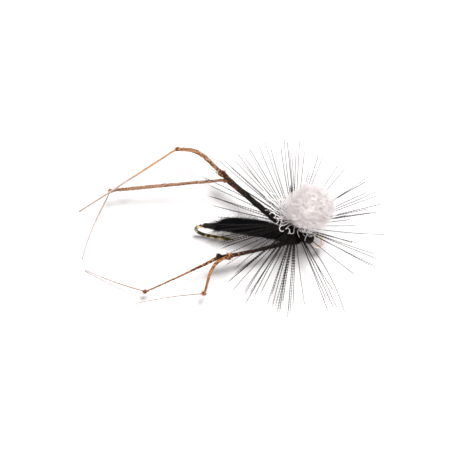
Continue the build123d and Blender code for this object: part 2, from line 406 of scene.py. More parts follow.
BRONZE = bronze()
THREAD = fibre_material(
    "black_thread", [(0.1, (0.004, 0.003, 0.003)), (0.9, (0.022, 0.018, 0.017))], 4.0, 0.5, 0.25
)
DUBBING = fibre_material(
    "black_dubbing",
    [(0.1, (0.0008, 0.001, 0.0015)), (0.6, (0.0025, 0.003, 0.004)), (0.95, (0.016, 0.022, 0.028))],
    2.0, 0.7, 0.06,
)
YARN = fibre_material(
    "white_yarn",
    [(0.1, (0.93, 0.85, 0.84)), (0.5, (0.98, 0.93, 0.92)), (0.9, (0.985, 0.965, 0.955))],
    1.2, 0.7, 0.15, glow=0.15,
)
HACKLE = fibre_material(
    "hackle_feather",
    [(0.1, (0.003, 0.002, 0.002)), (0.6, (0.010, 0.007, 0.006)), (0.95, (0.045, 0.04, 0.04))],
    2.5, 0.5, 0.12,
    along_stops=[(0.0, (0.7, 0.6, 0.6)), (0.6, (1.1, 1.1, 1.1)), (1.0, (1.8, 1.8, 1.9))],
)
HERL_STOPS = [
    (0.0, (0.006, 0.0035, 0.0025)),
    (0.16, (0.018, 0.009, 0.006)),
    (0.3, (0.13, 0.035, 0.014)),
    (0.5, (0.42, 0.17, 0.055)),
    (0.68, (0.62, 0.36, 0.17)),
    (0.82, (0.33, 0.2, 0.15)),
    (1.0, (0.62, 0.52, 0.5)),
]


def herl(name, speckle):
    """One feather fibre's colours, from near black at its root through copper to a pale tip."""
    material, tree, shader = principled(name)
    place = attribute(tree, "along")
    for value, share in ((noise(tree, 4.0), speckle), (attribute(tree, "tone"), 0.3)):
        centred = maths(tree, "SUBTRACT", value, 0.5)
        place = maths(tree, "ADD", place, maths(tree, "MULTIPLY", centred, share))
    fill(shader, {
        "Base Color": ramp(tree, place, HERL_STOPS),
        "Roughness": wandering(tree, 5.0, 0.28, 0.55),
        "Specular IOR Level": 0.2,
        "Normal": bump(tree, noise(tree, 9.0, 2.0), 0.012, 0.5),
    })
    return material


DARK_HERL = herl("dark_herl", 0.4)
COPPER_HERL = herl("copper_herl", 2.1)
THIN_HERL = herl("thin_herl", 0.6)


# Hook

POINT_LENGTH = 1.1
# the cut barb: how far back of its heel and how far off the wire it reaches
BARB_PLACES = [(0.05, 0.0), (0.32, 0.12), (0.62, 0.24)]


def wire_line():
    """Points along the wire behind the eye, from the start of its neck to the hook's point."""
    neck_start = NECK_WAY * (RING_R + 0.1)
    rise = SHANK_Z - neck_start[2] - CROOK_R * (1 - math.cos(EYE_TURN))
    neck_end = neck_start + NECK_WAY * (rise / NECK_WAY[2])
    crook = []
    for a in np.linspace(0, EYE_TURN, 8):
        back = CROOK_R * (math.sin(EYE_TURN) - math.sin(EYE_TURN - a))
        up = CROOK_R * (math.cos(EYE_TURN - a) - math.cos(EYE_TURN))
        crook.append(neck_end + np.array([-back, 0, up]))
    shank = [np.array([x, 0, SHANK_Z]) for x in np.linspace(crook[-1][0], BEND_X, 30)[1:-1]]
    bend = [
        np.array([BEND_X - BEND_R * math.sin(a), 0, SHANK_Z - BEND_R * (1 - math.cos(a))])
        for a in np.linspace(0, BEND_TURN, 40)
    ]
    spear_way = np.array([-math.cos(BEND_TURN), 0, -math.sin(BEND_TURN)])
    spear = [bend[-1] + spear_way * d for d in np.linspace(0, SPEAR_END, 16)[1:]]
    return [neck_start] + crook + shank + bend + spear


def hook():
    """The eye, neck, shank, bend, spear and point as one bent wire with a cut barb."""
    side = np.array(Y_AXIS)
    loop = [
        RING_R * (NECK_WAY * math.cos(a) + side * math.sin(a))
        for a in np.radians(np.linspace(38, 340, 40))
    ]
    path = even(curve_through(np.array(loop + wire_line()), 600), 420)
    travelled = np.linspace(0, 1, len(path))
    total = places_on(path)[-1]
    from_tip = (1 - travelled) * total
    radius = WIRE_R * np.clip((from_tip / POINT_LENGTH) ** 0.75, 0.04, 1)
    radius = radius * np.clip(0.55 + travelled * total / 0.9, 0.55, 1)
    heap = Heap()
    heap.tubes([path], [radius], 28)
    spear_way = unit(path[-1] - path[-12])
    inward = np.cross(side, spear_way)
    heel = path[-1] - spear_way * 1.12 + inward * WIRE_R * 0.75
    barb = [heel - spear_way * back + inward * lift for back, lift in BARB_PLACES]
    heap.tubes([curve_through(barb, 10)], [np.linspace(0.12, 0.012, 10)], 12)
    piece("hook_wire", heap, BRONZE, ["hook"])


hook()


# Thread

THREAD_R = 0.062
THREAD_LIFT = 0.06


def wraps_round(line, ways, radius, pitch, wobble=0.12):
    """Thread wound in a close helix round a line; ways are its directions."""
    place = places_on(line)
    count = int(place[-1] / pitch * 18) + 2
    wanted = np.linspace(0, place[-1], count)
    way = unit(sampled(wanted, place, ways))
    size = np.interp(wanted, place, radius)[:, None]
    angle = (wanted / pitch * TAU)[:, None]
    first = np.stack([across(w, Y_AXIS)[0] for w in way])
    second = np.cross(way, first)
    shift = wobble * pitch * np.sin(angle * 0.37 + 1)
    circle = first * (size * np.cos(angle)) + second * (size * np.sin(angle))
    return sampled(wanted, place, line) + way * shift + circle


def thread_tube(heap, helix, tone, radius=THREAD_R, sides=7):
    heap.tubes([helix], radius, sides, tone)


def rear_wraps():
    """A full layer of turns over the start of the bend, and a second one over its front part."""
    low, high = box("rear_thread_wraps")
    line = even(np.array(wire_line()), 800)
    front, back = line[:400], line[:500]
    start = np.argmin(np.abs(front[:, 0] - high[0]))
    last = [low[0] + 0.12, 0, low[2] + 0.35]
    stop = start + np.argmin(np.linalg.norm(back[start:] - last, axis=1))
    span = line[start:stop]
    ways = unit(np.gradient(span, axis=0))
    heap = Heap()
    under = np.full(len(span), WIRE_R + THREAD_LIFT)
    thread_tube(heap, wraps_round(span, ways, under, 0.115), 0.4)
    over = wraps_round(span[10:], ways[10:], under[10:] + 0.08, 0.13)
    thread_tube(heap, over[: len(over) * 2 // 3], 0.6, 0.06)
    piece("rear_thread", heap, THREAD, ["rear_thread_wraps"])


rear_wraps()


def axis_of_post():
    """Foot and direction of the wound part of the post, from its thread."""
    middle = sum(box("post_thread_wraps")) / 2
    foot = np.array([middle[0] - 0.15, 0.0, SHANK_Z])
    return foot, unit(middle - foot)


POST_FOOT, POST_WAY = axis_of_post()
POST_R = 0.42


def post_at(height):
    """A point on the post's axis, or one per height."""
    return POST_FOOT + POST_WAY * np.asarray(height)[..., None]


def wound_on_post(low, high, count, lift, pitch, wobble=0.12):
    """A helix round the post between two heights."""
    line = post_at(np.linspace(low, high, count))
    ways = np.repeat(POST_WAY[None], count, axis=0)
    return wraps_round(line, ways, np.full(count, POST_R + lift), pitch, wobble)


def post_wraps():
    heap = Heap()
    thread_tube(heap, wound_on_post(1.35, 2.5, 40, THREAD_LIFT, 0.118), 0.45)
    piece("post_thread", heap, THREAD, ["post_thread_wraps"])


post_wraps()


# the head's radius from back to front
HEAD_PLACES = [0, 0.25, 0.55, 0.8, 0.93, 1]
HEAD_SIZES = [0.52, 0.62, 0.72, 0.68, 0.48, 0.3]


def head():
    """Finishing wraps: a small bulb behind the eye that closes round the neck."""
    line = even(np.array(wire_line()[:14]), 80)
    low, high = box("thread_head")
    inside = (line[:, 0] > low[0] - 0.1) & (line[:, 0] < high[0] + 0.25)
    span = even(line[inside][::-1], 60)
    ways = unit(np.gradient(span, axis=0))
    bulb = np.interp(np.linspace(0, 1, len(span)), HEAD_PLACES, HEAD_SIZES)
    heap = Heap()
    thread_tube(heap, wraps_round(span, ways, bulb, 0.105), 0.4)
    thread_tube(heap, wraps_round(span, ways, bulb - 0.07, 0.115), 0.6)
    heap.tubes([span], [bulb - 0.08], 20, 0.3)
    piece("head_thread", heap, THREAD, ["thread_head"])


head()


def finish_cad_nodes():
    """The thread bed stays as packed and gets the thread's finish."""
    for slot in frame["nodes"]["thread_base"].material_slots:
        slot.material = THREAD


finish_cad_nodes()


# Dubbed body

# the fur along the shank: where, its radius, and how far it is shifted up and left (1 is the most)
BODY_PLACES = [-13.5, -13.1, -12.7, -12.2, -10.9, -9.7, -8.0, -6.0, -5.0, -4.2, -3.2, -2.4, -1.95]
BODY_SIZES = [0.38, 0.5, 0.68, 0.82, 0.98, 1.06, 1.08, 1.0, 0.98, 1.15, 1.2, 0.95, 0.55]
BODY_SHIFTS = [0, 0.2, 0.5, 0.8, 1.0, 1.0, 0.95, 0.6, 0.35, 0.2, 0.1, 0, 0]
MOST_LEFT = 0.32
MOST_UP = 0.42


def body_radius(x):
    return np.interp(x, BODY_PLACES, BODY_SIZES)


def body_middle(x):
    """Sideways and upward place of the fur's middle."""
    shift = np.interp(x, BODY_PLACES, BODY_SHIFTS)
    return MOST_LEFT * shift, SHANK_Z + MOST_UP * shift


def on_body(x, out, turn):
    """Points round the fur's middle line, at a distance out from it."""
    side, height = body_middle(x)
    return np.stack([x, side + out * np.cos(turn), height + out * np.sin(turn)], axis=-1)


def fur_core(heap, start, stop, seed):
    """A lumpy closed core, wound in soft spiral ridges."""
    around, lengthwise = 72, int((stop - start) * 14)
    x = np.linspace(start, stop, lengthwise)
    angle = np.linspace(0, TAU, around, endpoint=False)
    grid_x, grid_a = np.meshgrid(x, angle, indexing="ij")
    lump = seeded(seed)
    radius = body_radius(grid_x)
    radius = radius * (0.97 + 0.035 * np.sin(grid_x * TAU / 1.05 + grid_a))
    for _ in range(14):
        k, m = lump.uniform(0.5, 6), lump.integers(1, 9)
        radius = radius + 0.014 * np.sin(grid_x * k + grid_a * m + lump.uniform(0, 6))
    radius = radius + lump.normal(0, 0.012, radius.shape)
    end = np.minimum(grid_x - start, stop - grid_x)
    radius = 0.3 + (radius - 0.3) * np.clip(end / 0.3, 0.02, 1) ** 0.5
    points = on_body(grid_x, radius, grid_a).reshape(-1, 3)
    index = np.arange(lengthwise * around).reshape(lengthwise, around)
    caps = np.stack([index[0, ::-1], index[-1]])
    heap.add(points, (ring_faces(index), caps), strand_tones(lump, 0.35, 0.15, len(points)), 0.5)


def fur_hairs(heap, start, stop, count, length, lift, seed):
    """Fine hairs that lie round the body and stand a little off it, some well clear."""
    draw = seeded(seed)
    x = draw.uniform(start, stop, count)
    angle = draw.uniform(0, TAU, count)
    reach = draw.gamma(3.0, length / 3, count)
    rise = lift * draw.gamma(1.6, 0.6, count)
    t = np.linspace(0, 1, 7)
    slant = draw.normal(-0.5, 0.6, count)
    spin = draw.choice([-1.0, 1.0], count) * draw.uniform(0.2, 1.0, count)
    curl = draw.normal(0, 0.35, (count, 2))
    radius = body_radius(x) * 0.95
    bend, lift_bend = curl[:, :1] * reach[:, None], curl[:, 1:] * reach[:, None] * 0.2
    xs = x[:, None] + (slant * reach)[:, None] * t + bend * t**2
    turn = angle[:, None] + (spin * reach / radius)[:, None] * t * 0.8
    out = radius[:, None] + (rise * reach)[:, None] * t**1.4 + lift_bend * t**2
    paths = on_body(xs, np.maximum(out, body_radius(xs) * 0.93), turn)
    thick = draw.uniform(0.012, 0.022, (count, 1)) * np.linspace(1, 0.35, len(t))
    heap.tubes(paths, thick, 3, strand_tones(draw, 0.5, 0.25, count))


def dubbing(name, start, stop, hairs, seed, node):
    heap = Heap()
    fur_core(heap, start, stop, seed)
    fur_hairs(heap, start + 0.1, stop - 0.1, hairs, 0.6, 0.16, seed + 1)
    fur_hairs(heap, start + 0.1, stop - 0.1, hairs // 4, 0.75, 0.6, seed + 2)
    piece(name, heap, DUBBING, [node])


dubbing("abdomen_fur", -13.55, -4.9, 2600, 21, "abdomen_dubbing")
dubbing("thorax_fur", -5.1, -1.9, 1300, 31, "thorax_dubbing")


# Wing post

YARN_LOW, YARN_HIGH = box("wing_post_yarn")
# radius of the brush without its fuzz, as a share of the CAD brush's radius
BRUSH_SHARE = 0.755
BRUSH_R = BRUSH_SHARE * (YARN_HIGH[1] - YARN_LOW[1]) / 2
TUFT_START = post_at(3.2)
TUFT_MIDDLE = YARN_HIGH - [3.45, 3.6, 2.7]
TUFT_WAY = unit(TUFT_MIDDLE - TUFT_START)
TUFT_SIDE, TUFT_FRONT = across(TUFT_WAY, X_AXIS)
SHORT_WAVES = ((0.55, 0.85), (0.28, 0.45))
FAN_WAVES = ((0.8, 1.4), (1.4, 2.6))
LONG_WAVES = ((1.0, 1.8), (2.0, 3.5))


def crimped(starts, ends, count, draw, swell, crimp, waves=SHORT_WAVES):
    """Filaments between points: bowed by about swell, with waves about crimp high.

    Each pair in waves holds the shortest and the longest wavelength."""
    n = len(starts)
    t = np.linspace(0, 1, count)[None, :, None]
    span = ends - starts
    length = np.linalg.norm(span, axis=1)
    way = unit(span)
    first = unit(np.cross(way, draw.normal(0, 1, (n, 3))))
    second = np.cross(way, first)
    line = starts[:, None] + span[:, None] * t
    bow = draw.normal(0, swell, (n, 1, 1)) * np.sin(np.pi * t)
    line = line + bow * first[:, None]
    for vector in (first, second):
        for low, high in waves:
            wave = (length / draw.uniform(low, high, n))[:, None, None]
            phase = draw.uniform(0, TAU, n)[:, None, None]
            size = (crimp * draw.uniform(0.4, 1.1, n))[:, None, None]
            ripple = size * np.sin(TAU * wave * t + phase) * np.clip(t * 4, 0, 1)
            line = line + ripple * vector[:, None]
    return line


def brush_reach(turn, high):
    """Distance from the brush's middle to its trimmed, uneven outside."""
    broad = 0.075 * np.sin(3 * turn + 1.1) * np.sin(2.2 * high)
    middling = 0.045 * np.sin(7 * turn + 4 * high)
    fine = 0.03 * np.sin(11 * high - 5 * turn)
    return BRUSH_R * (0.97 + broad + middling + fine)


def round_tuft(turn):
    """Unit vectors square to the tuft's axis, at an angle round it."""
    return np.cos(turn)[..., None] * TUFT_SIDE + np.sin(turn)[..., None] * TUFT_FRONT


def brush_way(turn, high):
    """Unit vectors from the brush's middle, at an angle round it and one down from its top."""
    return np.sin(high)[..., None] * round_tuft(turn) + np.cos(high)[..., None] * TUFT_WAY


def on_brush(turn, high, share):
    """Points at a share of the distance from the brush's middle to its outside."""
    return TUFT_MIDDLE + brush_way(turn, high) * (brush_reach(turn, high) * share)[..., None]


def yarn_bundle(name, count, seed, inner, uneven, replaces=()):
    """Filaments from the post's top that end from a share of the brush's size outwards."""
    draw = seeded(seed)
    turn = draw.uniform(0, TAU, count)
    high = np.arccos(draw.uniform(-0.1, 1, count))
    share = inner + (1 - inner) * draw.uniform(0, 1, count) ** 0.5
    share = share * (1 + np.abs(draw.normal(0, uneven, count)))
    ends = on_brush(turn, high, share)
    spot = draw.normal(0, 0.2, (count, 2))
    starts = TUFT_START + TUFT_SIDE * spot[:, :1] + TUFT_FRONT * spot[:, 1:]
    paths = crimped(starts, ends, 44, draw, 0.2, 0.06)
    thick = draw.uniform(0.018, 0.03, (count, 1)) * np.linspace(1, 0.7, 44)
    heap = Heap()
    heap.tubes(paths, thick, 3, strand_tones(draw, 0.6, 0.2, count))
    piece(name, heap, YARN, replaces)


def yarn_skin(name, count, seed, inner, outer, flatness):
    """Short crinkled lengths in one layer of the brush, from lying flat to standing out."""
    draw = seeded(seed)
    turn = draw.uniform(0, TAU, count)
    high = np.arccos(draw.uniform(-0.35, 1, count))
    way = brush_way(turn, high)
    middle = on_brush(turn, high, draw.uniform(inner, outer, count))
    lying = unit(np.cross(way, draw.normal(0, 1, (count, 3))))
    along = unit(lying * flatness + way * draw.uniform(0.2, 1, (count, 1)))
    half = along * draw.uniform(0.15, 0.4, (count, 1))
    paths = crimped(middle - half, middle + half, 11, draw, 0.1, 0.05)
    thick = draw.uniform(0.012, 0.021, (count, 1))
    heap = Heap()
    heap.tubes(paths, thick, 3, strand_tones(draw, 0.6, 0.22, count))
    piece(name, heap, YARN)


def yarn_core():
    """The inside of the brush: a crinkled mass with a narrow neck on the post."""
    around, levels = 180, 120
    draw = seeded(45)
    turns = np.linspace(0, TAU, around, endpoint=False)
    turn, high = np.meshgrid(turns, np.linspace(0.02, 2.75, levels))
    size = brush_reach(turn, high) * np.interp(high, [0, 1.2, 2.2, 2.75], [0.9, 0.89, 0.5, 0.3])
    for _ in range(60):
        k, m = draw.uniform(8, 46), draw.integers(4, 44)
        size = size + 0.006 * np.sin(high * k + turn * m + draw.uniform(0, 6))
    size = size + draw.normal(0, 0.008, size.shape)
    points = TUFT_MIDDLE + brush_way(turn, high) * size[..., None]
    neck = np.clip((high - 1.7) / 1.05, 0, 1)[..., None] ** 1.5
    points = points * (1 - neck) + (TUFT_START + round_tuft(turn) * 0.3) * neck
    index = np.arange(levels * around).reshape(levels, around)
    faces = (ring_faces(index)[:, ::-1], np.stack([index[0], index[-1, ::-1]]))
    heap = Heap()
    heap.add(points.reshape(-1, 3), faces, strand_tones(draw, 0.6, 0.2, size.size), 0.5)
    piece("wing_post_core", heap, YARN)


def yarn_foot():
    """The bound foot: straight filaments held together under thread and hackle."""
    draw = seeded(5)
    count = 90
    ring = POST_R * 0.9 * np.sqrt(draw.uniform(0, 1, count))
    turn = draw.uniform(0, TAU, count)
    first, second = across(POST_WAY, X_AXIS)
    offset = ring[:, None] * (np.cos(turn)[:, None] * first + np.sin(turn)[:, None] * second)
    paths = post_at(np.linspace(0.3, 3.6, 12)) + offset[:, None]
    heap = Heap()
    heap.tubes(paths, 0.05, 5, draw.uniform(0.3, 0.8, count))
    piece("wing_post_foot", heap, YARN)


# heading, rise, length, size of the waves
CURLS = [
    (140, 6, 6.2, 0.16),
    (146, 2, 5.6, 0.2),
    (152, 8, 5.0, 0.14),
    (158, 4, 4.2, 0.22),
    (166, -4, 3.4, 0.18),
    (182, -8, 2.6, 0.3),
    (200, -8, 2.0, 0.3),
    (285, -10, 2.0, 0.25),
    (312, -8, 2.4, 0.22),
    (328, -8, 3.2, 0.2),
]

# middle of a hooked end, its radius, first angle and sweep
HOOKED = [
    ((-4.7, -0.35, 4.5), 0.38, 70, 230),
    ((-4.05, -0.6, 4.5), 0.32, 140, -210),
    ((-3.5, -0.55, 4.4), 0.3, 30, -230),
    ((-5.7, 0.55, 4.6), 0.34, 100, -170),
    ((-6.2, 1.15, 4.7), 0.4, -40, 200),
    ((-1.7, -0.1, 2.8), 0.32, 150, 220),
    ((-1.1, -0.05, 2.6), 0.3, 60, -240),
    ((-0.45, 0.0, 2.3), 0.34, 90, -150),
]


def hooked_curl(heap, draw, middle, size, first, sweep):
    """A filament from the post's top whose cut end curls round on itself."""
    angle = np.radians(np.linspace(first, first + sweep, 9))
    ring = np.stack([np.cos(angle), np.sin(angle), 0.4 * np.sin(1.3 * angle)], axis=1)
    ring = np.array(middle) + size * ring
    start = post_at(3.5)
    lead = 0.45 * start + 0.55 * ring[0] + draw.normal(0, 0.15, 3)
    path = curve_through(np.concatenate([[start, lead], ring]), 60)
    heap.tubes([path], draw.uniform(0.042, 0.052), 6, draw.uniform(0.5, 0.95))


def stray_curls():
    """Single crimped filaments that lie out over the hackle and the leg roots."""
    draw = seeded(46)
    heap = Heap()
    for shape in HOOKED:
        hooked_curl(heap, draw, *shape)
    for turn, rise, length, wave in CURLS:
        for _ in range(1 if turn > 170 else 2):
            way = heading(turn + draw.normal(0, 5), rise + draw.normal(0, 6))
            start = post_at(3.55) + way * 0.3
            end = start + way * length * draw.uniform(0.75, 1.05)
            path = crimped(start[None], end[None], 80, draw, 0.35, wave, LONG_WAVES)
            heap.tubes(path, draw.uniform(0.032, 0.045), 6, draw.uniform(0.5, 0.95))
    piece("wing_post_curls", heap, YARN)


def yarn_fan():
    """Loose filaments that spread out of the brush to the left and rear."""
    draw = seeded(47)
    count = 90
    way = heading(draw.normal(138, 22, count), draw.uniform(2, 50, count))
    length = draw.uniform(2.2, 4.9, (count, 1))
    starts = post_at(3.6) + draw.normal(0, 0.3, (count, 3))
    paths = crimped(starts, starts + way * length, 40, draw, 0.35, 0.07, FAN_WAVES)
    thick = draw.uniform(0.018, 0.03, (count, 1))
    heap = Heap()
    heap.tubes(paths, thick, 4, strand_tones(draw, 0.6, 0.2, count))
    piece("wing_post_fan", heap, YARN)


yarn_core()
yarn_bundle("wing_post_tuft_inner", 300, 41, 0.8, 0.1, ["wing_post_yarn"])
yarn_bundle("wing_post_tuft_outer", 400, 42, 0.85, 0.2)
yarn_skin("wing_post_skin", 2900, 44, 0.88, 0.93, 1.0)
yarn_skin("wing_post_fuzz", 3000, 48, 0.88, 1.3, 0.7)
yarn_foot()
stray_curls()
yarn_fan()


# Hackle

# heading, rise, reach, barbs, spread of headings at the tips, side bow
CLUMPS = [
    (3, 8, 8, 2, 4, 0.5),
    (9, 9, 7, 1, 3, 0.3),
    (15.5, 4, 11, 3, 2, -0.2),
    (23, 0, 11.9, 2, 2, 0.3),
    (28.5, 2, 11.9, 1, 2, 0.3),
    (34, -4, 11, 1, 3, 0.2),
    (42, 0, 12, 3, 1.5, 0.1),
    (54, 0, 10.4, 1, 2, 0.2),
    (63, -6, 11, 1, 4, 0.2),
    (77, 4, 10.3, 2, 3, 0.3),
    (81.5, 8, 7.4, 2, 2, -0.2),
    (89, -6, 11.2, 1, 2, 0.4),
    (95, -6, 12.6, 2, 2, 0),
    (100, -4, 12.2, 3, 1, 0.1),
    (103, -2, 5.6, 5, 2, 0),
    (107, -7, 13.2, 2, 2, -0.5),
    (113, -10, 12.4, 1, 4, -0.2),
    (119, -8, 13.6, 2, 2, -0.5),
    (127, -6, 13, 2, 3, -0.3),
    (133, -4, 12.2, 2, 3, -0.2),
    (141, 6, 12.3, 2, 2, -0.2),
    (147, 8, 13, 2, 2, -0.2),
    (152, 8, 13.6, 2, 2, -0.1),
    (157, 7, 13.8, 2, 3, 0.1),
    (166, 5, 12.4, 2, 3, -0.3),
    (171, -3, 11.3, 2, 3, -0.4),
    (178, -6, 10.5, 1, 4, 0),
    (187, 2, 10, 1, 5, 0.3),
    (191, 5, 10.6, 2, 3, 0.2),
    (195, 5, 11, 1, 3, 0.2),
    (199, 5, 10.6, 2, 3, 0.1),
    (203, 5, 11, 2, 2, 0.2),
    (206, 5, 10.4, 2, 3, 0.2),
    (211, 5, 10.4, 2, 3, 0.2),
    (219, 4, 11, 2, 2, 0.2),
    (228, -2, 11.8, 4, 1.5, 0.2),
    (234, -5, 12, 2, 4, 0.8),
    (240, -7, 11, 2, 5, 0.3),
    (245, -4, 12.2, 3, 2, 0.3),
    (252, -13, 9.6, 2, 4, 0.1),
    (258, -8, 11, 3, 3, 0.2),
    (265, -5, 11.6, 4, 2, 0.2),
    (274, -4, 12.4, 4, 1.2, -0.2),
    (283, -12, 10.5, 1, 4, 0.2),
    (298, -4, 12.4, 2, 2, -0.2),
    (303, -11, 10.2, 2, 4, 0.2),
    (306, -4, 12.5, 1, 2, -0.2),
    (317, -8, 13, 1, 0, -2.8),
    (327, -12, 10, 1, 5, 0.4),
    (338, -6, 12, 2, 2, 0.1),
    (344, -4, 11.6, 2, 1.5, 0.2),
    (354, -14, 8.6, 2, 3, 0.2),
    (357, -4, 12, 1, 2, 0.9),
]
TURNS = 5
HACKLE_FOOT = 2.45
QUILL_WIDTH = 0.2
BARB_POINTS = 150
NODE_PITCH = 0.38
# the heading whose barbs are thinnest and get the palest tone, painted light as on the lit side
LIT_HEADING = 50


def bowed_barb(root, way, reach, side_bow, droop):
    """A barb's line: straight at the root, bending sideways and down to its tip."""
    t = np.linspace(0, 1, BARB_POINTS)[:, None]
    side = unit(np.cross(UP, way))
    return root + way * reach * t + side * side_bow * t**2.2 + UP * droop * t**2


def barbules(heap, line, draw, pitch, length):
    """Very short side hairs of a barb, in pairs that lean towards its tip."""
    place = places_on(line)
    wanted = np.arange(0.9, place[-1] * 0.95, pitch / 3)
    wanted = wanted[np.mod(wanted, pitch) < pitch * 0.5]
    root = sampled(wanted, place, line)
    way = unit(sampled(wanted, place, np.gradient(line, axis=0)))
    first = unit(np.cross(way, draw.normal(0, 1, 3)))
    for sign in (-1.0, 1.0):
        size = length * draw.uniform(0.5, 1.2, len(wanted))[:, None]
        lean = unit(way + sign * first * draw.uniform(0.4, 0.8, (len(wanted), 1)))
        paths = np.stack([root, root + lean * size * 0.5, root + lean * size], axis=1)
        heap.tubes(paths, [0.018, 0.014, 0.006], 3, draw.uniform(0.1, 0.5, len(wanted)))


def barb_thickness(length, barbs, lit, draw):
    """Radii along a barb: solid at its root, then beaded, and thinner where it is lit."""
    t = np.linspace(0, 1, BARB_POINTS)
    beat = 0.5 + 0.5 * np.cos(t * length / NODE_PITCH * TAU)
    solid = np.clip(1 - t / 0.3, 0, 1)
    thin = 0.2 + 0.25 * lit
    dash = solid + (1 - solid) * (thin + (1 - thin) * np.clip(beat * 1.8 - 0.3, 0, 1))
    full = 1 + 0.12 * barbs * (1 - t) ** 2
    thick = (0.074 - 0.02 * t) * (1.06 - 0.24 * lit) * full * draw.uniform(0.85, 1.15) * dash
    return thick * np.clip((1 - t) / 0.06, 0.3, 1)


def hackle():
    """Every barb, each in the heap of the stem's turn that it stands on."""
    draw = seeded(3)
    heaps = [Heap() for _ in range(TURNS)]
    for turn, rise, reach, barbs, spread, side_bow in CLUMPS:
        level = np.interp(rise, [-10, 7], [0, TURNS - 1]) + draw.uniform(-0.6, 0.6)
        level = int(np.clip(level, 0, TURNS - 1))
        foot = post_at(HACKLE_FOOT + (level + 0.5) * QUILL_WIDTH)
        lit = 0.5 + 0.5 * math.cos(math.radians(turn - LIT_HEADING))
        for barb in range(barbs):
            offset = (barb - (barbs - 1) / 2) / max(barbs - 1, 1)
            at_root = turn + draw.normal(0, 2) + offset * 4
            root = foot + heading(at_root) * (0.62 + 0.1 * draw.uniform())
            root = root + UP * draw.uniform(-0.08, 0.08)
            length = reach * draw.uniform(0.86, 1.0) if barb else reach
            tip_turn = turn + offset * spread * 1.3 + draw.normal(0, 1.0)
            end = foot + heading(tip_turn, rise + draw.normal(0, 1.0)) * length
            span = end - root
            droop = -0.35 - 0.3 * draw.uniform()
            way = unit(span - UP * droop)
            bow = side_bow + draw.normal(0, 0.3)
            line = bowed_barb(root, way, np.linalg.norm(span), bow, droop)
            thick = barb_thickness(length, barbs, lit, draw)
            # Barbs toward the lit side get a paler tone: painted light.
            heaps[level].tubes([line], [thick], 5, draw.uniform(0.1, 0.5) + 0.35 * lit)
            barbules(heaps[level], line, draw, NODE_PITCH, 0.14)
    for number, heap in enumerate(heaps, 1):
        node = f"hackle_barbs_turn_{number}"
        piece(f"hackle_turn_{number}", heap, HACKLE, [node])


hackle()


# the stem's bound-down end: height on the post, then how far ahead and left of it
STEM_END = [(2.5, -0.66, 0), (2.1, -0.7, 0.05), (1.6, -0.66, 0), (1.1, -0.55, 0)]


def quill():
    """The feather's stem, wound on edge round the post over its thread."""
    heap = Heap()
    top = HACKLE_FOOT + TURNS * QUILL_WIDTH
    thread_tube(heap, wound_on_post(HACKLE_FOOT, top, 60, 0.16, QUILL_WIDTH, 0.05), 0.4, 0.13, 9)
    down = [post_at(height) + [ahead, left, 0] for height, ahead, left in STEM_END]
    heap.tubes([curve_through(down, 16)], [np.linspace(0.1, 0.08, 16)], 8, 0.6)
    piece("hackle_stem", heap, HACKLE, ["hackle_quill"])


quill()


# Legs

# Places along a leg: 0 is its root, 1 the knee, 2 the ankle and 3 the tip. At each station: apart,
# the strands' distance from the leg's middle; thick, their radius; shade, from black (0) through
# copper to the pale tip (1). knots: shade of the knee's and of the ankle's knot. bows: how far left
# and up femur, tibia and tarsus bow, and where the crest is (1 is the middle). twist: turns along
# the tibia. bead: how beaded it is. fuzz: its hairs on each strand, their length and radius.
STATIONS = [0.0, 0.5, 1.0, 1.1, 1.5, 1.9, 2.05, 3.0]
LEGS = {
    "left_front": dict(
        knee_shift=(-0.07, -0.26, 0),
        bows=((0.3, 0.1, 1), (-0.85, 0.1, 1.35), (0, 0, 1)),
        apart=[0.2, 0.27, 0.18, 0.15, 0.17, 0.13, 0.07, 0.03],
        thick=[0.12, 0.13, 0.11, 0.09, 0.1, 0.09, 0.1, 0.075],
        shade=[0, 0.04, 0.14, 0.4, 0.52, 0.5, 0.8, 0.88],
        knots=(0.3, 0.33), twist=7, bead=0.6, fuzz=(300, 0.22, 0.042),
    ),
    "left_rear": dict(
        knee_shift=(-0.08, 0.28, 0),
        bows=((-0.05, 0.1, 1), (0, 0.05, 1), (-0.3, 0, 1.4)),
        apart=[0.2, 0.27, 0.17, 0.06, 0.13, 0.12, 0.03, 0],
        thick=[0.12, 0.13, 0.1, 0.07, 0.08, 0.075, 0.07, 0.06],
        shade=[0, 0.04, 0.14, 0.46, 0.6, 0.56, 0.84, 1],
        knots=(0.29, 0.42), twist=5, bead=0.6, fuzz=(420, 0.24, 0.04),
    ),
    "right_front": dict(
        knee_shift=(0, 0, 0),
        bows=((0, 0.1, 1), (-0.9, 0.2, 0.72), (-0.15, 0.1, 1)),
        apart=[0.13, 0.15, 0.14, 0.15, 0.15, 0.09, 0.03, 0],
        thick=[0.11, 0.11, 0.1, 0.095, 0.095, 0.08, 0.06, 0.055],
        shade=[0, 0.05, 0.2, 0.46, 0.56, 0.46, 0.86, 1],
        knots=(0.42, 0.34), twist=0.8, bead=0, fuzz=(40, 0.1, 0.028),
    ),
    "right_rear": dict(
        knee_shift=(0.02, 0.05, 0),
        bows=((0.15, 0.1, 1), (0.1, 0.1, 1), (0.15, -0.1, 1)),
        apart=[0.12, 0.14, 0.13, 0.14, 0.05, 0.04, 0.03, 0],
        thick=[0.1, 0.11, 0.1, 0.11, 0.075, 0.06, 0.06, 0.055],
        shade=[0, 0.05, 0.13, 0.36, 0.46, 0.5, 0.84, 1],
        knots=(0.14, 0.3), twist=3, bead=0.2, fuzz=(120, 0.16, 0.035),
    ),
}
LEG_JOINTS = ("leg_raise", "knee_bend", "ankle_bend")
STRANDS = 5
BEAD_PITCH = 0.4
TIBIA = (1.04, 1.96)
# size of the knots, and how far from the middle of a knot the fibres on either side of it end
KNEE_SIZE, KNEE_GAP = 0.36, 0.26
ANKLE_SIZE, ANKLE_GAP = 0.27, 0.2


